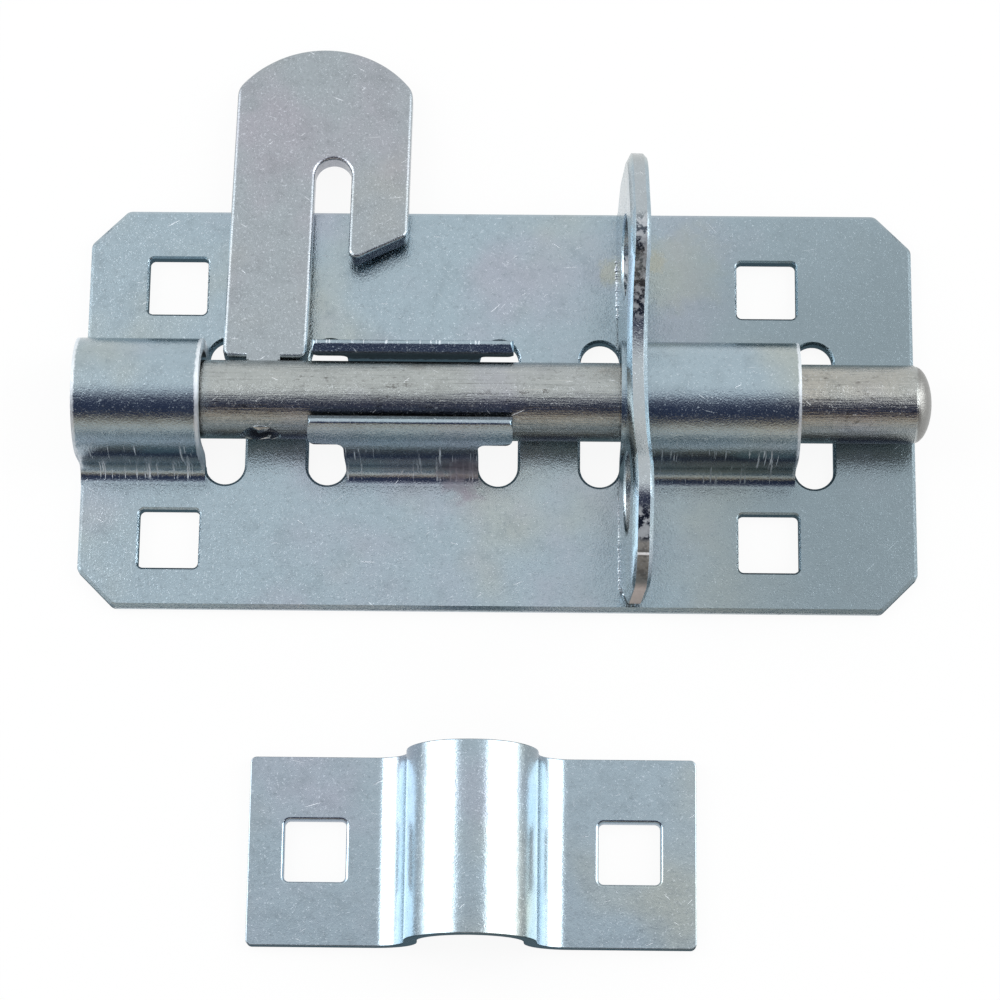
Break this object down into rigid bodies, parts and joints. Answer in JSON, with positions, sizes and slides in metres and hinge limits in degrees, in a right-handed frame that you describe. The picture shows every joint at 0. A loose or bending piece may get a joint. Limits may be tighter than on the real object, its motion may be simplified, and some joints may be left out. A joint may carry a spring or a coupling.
{
  "type": "padbolt",
  "caption": "Surface-mounted padbolt: a round bolt with a riveted hook handle runs in looped guides pressed from the sheet, with an upright padlock plate and a loose arched keeper.",
  "frame": {"origin": "centre of the body's four square fixing holes, on the back face of the sheet", "axes": "+X along the bolt towards its nose, +Z out of the door, +Y across the sheet on the side where the handle lies"},
  "size_m": [0.1298, 0.1418, 0.0292],
  "materials": {
    "base_plate": "bright zinc plated pressed sheet, pale blue-grey with a faint iridescence",
    "staple_plate": "bright zinc plated sheet",
    "bolt_rod": "bright zinc plated drawn bar",
    "handle": "bright zinc plated pressed plate",
    "keeper": "bright zinc plated pressed sheet"
  },
  "bodies": {
    "body": {"base_plate": "base_plate", "staple_plate": "staple_plate", "keeper": "keeper"},
    "bolt": {"bolt_rod": "bolt_rod", "handle": "handle"}
  },
  "joints": [
    {"name": "bolt_turn", "type": "hinge", "parent": "body", "child": "bolt", "pos_m": [0, 0, 0.0083], "axis": [1, 0, 0], "range_deg": [0, 188]}
  ]
}
